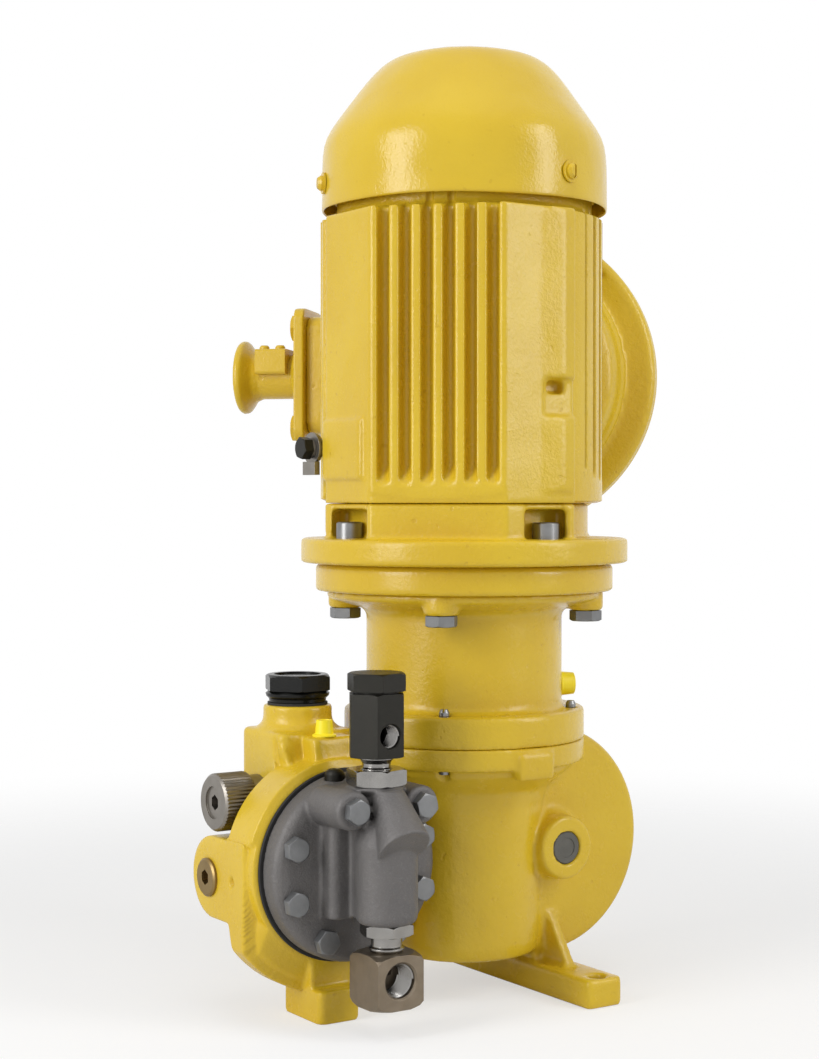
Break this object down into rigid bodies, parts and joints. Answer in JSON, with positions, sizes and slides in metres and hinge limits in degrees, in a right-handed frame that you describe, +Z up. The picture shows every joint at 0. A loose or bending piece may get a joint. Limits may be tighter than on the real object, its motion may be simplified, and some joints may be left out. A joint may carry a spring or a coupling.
{
  "type": "diaphragm metering pump",
  "caption": "Metering pump with an upright finned motor, worm gear housing on a bar foot and a side liquid head with diaphragm, check valves and stroke knob.",
  "frame": {"origin": "midpoint of the two holes in the foot bar, on the plane the pump stands on, under the wheel shaft", "axes": "+Z up; -Y to the front with the liquid head and both ports; -X towards the liquid end and its adjusting knob"},
  "size_m": [0.3604, 0.3178, 0.58],
  "materials": {
    "yellow_casting": "gloss signal yellow enamel over a cast surface",
    "yellow_machined": "gloss signal yellow enamel over a machined surface",
    "yellow_sheet": "gloss signal yellow enamel over pressed sheet",
    "head_casting": "bare graphite grey casting, fine sand texture",
    "zinc_bolt": "dull zinc plate",
    "black_oxide": "black oxide over machined bar",
    "stainless_block": "warm grey turned stainless bar",
    "polished_steel": "polished",
    "steel": "ground steel",
    "socket_steel": "bright plated steel",
    "bronze": "machined bronze",
    "copper": "varnished copper",
    "lamination": "laminated sheet steel",
    "aluminium": "die cast",
    "black_rubber": "matt",
    "white_ptfe": "matt",
    "black_plastic": "gloss moulded",
    "lemon_plastic": "moulded soft plastic",
    "grey_plug": "dark grey",
    "zinc_yellow": "yellow chromate plate"
  },
  "bodies": {
    "pump": {"adapter_ring": "yellow_machined", "air_bleed": "black_oxide", "cable_gland": "yellow_casting", "contour_plate": "steel", "coupling_lantern": "yellow_casting", "cowl_screws": "yellow_machined", "diaphragm": "white_ptfe", "diaphragm_head": "head_casting", "discharge_cap": "black_oxide", "discharge_valve_body": "black_oxide", "displacement_chamber": "yellow_casting", "earth_bolt": "black_oxide", "earth_washers": "steel", "fan_cowl": "yellow_sheet", "fan_end_shield": "yellow_casting", "flange_cap_screws": "socket_steel", "gear_housing": "yellow_casting", "gland_clamp": "yellow_machined", "gland_plate": "yellow_machined", "gland_screws": "yellow_machined", "head_bolts": "zinc_bolt", "head_gasket": "black_rubber", "housing_screws": "socket_steel", "knob_bushing": "steel", "lantern_bolts": "zinc_bolt", "lantern_plug": "lemon_plastic", "lock_nuts": "polished_steel", "motor_bearings": "steel", "motor_flange_shield": "yellow_casting", "motor_frame": "yellow_casting", "oil_cap_seal": "black_rubber", "pipe_nipples": "polished_steel", "plunger_liner": "bronze", "side_plug": "zinc_yellow", "sight_plug": "grey_plug", "stator_core": "lamination", "stator_windings": "copper", "suction_valve_body": "stainless_block", "terminal_box": "yellow_casting", "terminal_box_cover": "yellow_casting", "terminal_cover_screws": "yellow_machined", "valve_seats": "steel", "vent_plug": "lemon_plastic", "wheel_bearings": "steel", "worm_bearings": "steel"},
    "rotor": {"motor_shaft": "steel", "rotor_core": "lamination", "cooling_fan": "black_plastic", "coupling_hubs": "aluminium", "coupling_spider": "black_rubber", "worm_shaft": "steel"},
    "wheel": {"worm_wheel": "bronze", "eccentric_shaft": "steel"},
    "plunger_unit": {"crosshead": "steel", "plunger": "steel"},
    "knob": {"adjusting_knob": "steel"},
    "stem": {"adjusting_stem": "steel"},
    "suction_ball_body": {"suction_ball": "steel"},
    "discharge_ball_body": {"discharge_ball": "steel"},
    "oil_cap_body": {"oil_cap": "black_plastic"}
  },
  "joints": [
    {"name": "rotor_spin", "type": "hinge", "parent": "pump", "child": "rotor", "pos_m": [-0.041, 0, 0.2], "axis": [0, 0, 1], "continuous": true},
    {"name": "wheel_spin", "type": "hinge", "parent": "pump", "child": "wheel", "pos_m": [0, 0, 0.089], "axis": [0, 1, 0], "continuous": true},
    {"name": "plunger_slide", "type": "slide", "parent": "pump", "child": "plunger_unit", "axis": [1, 0, 0], "range_m": [-0.004, 0.004]},
    {"name": "knob_turn", "type": "hinge", "parent": "pump", "child": "knob", "pos_m": [-0.19, 0.03, 0.123], "axis": [1, 0, 0], "range_deg": [0, 1440]},
    {"name": "stem_slide", "type": "slide", "parent": "pump", "child": "stem", "axis": [1, 0, 0], "range_m": [0, 0.0101]},
    {"name": "suction_ball_lift", "type": "slide", "parent": "pump", "child": "suction_ball_body", "axis": [0, 0, 1], "range_m": [0, 0.0025]},
    {"name": "discharge_ball_lift", "type": "slide", "parent": "pump", "child": "discharge_ball_body", "axis": [0, 0, 1], "range_m": [0, 0.0025]},
    {"name": "oil_cap_lift", "type": "slide", "parent": "pump", "child": "oil_cap_body", "axis": [0, 0, 1], "range_m": [0, 0.03]}
  ],
  "couplings": [
    {"joint": "wheel_spin", "follows": "rotor_spin", "ratio": -0.033333},
    {"joint": "stem_slide", "follows": "knob_turn", "m_per_rad": 0.00039789}
  ]
}
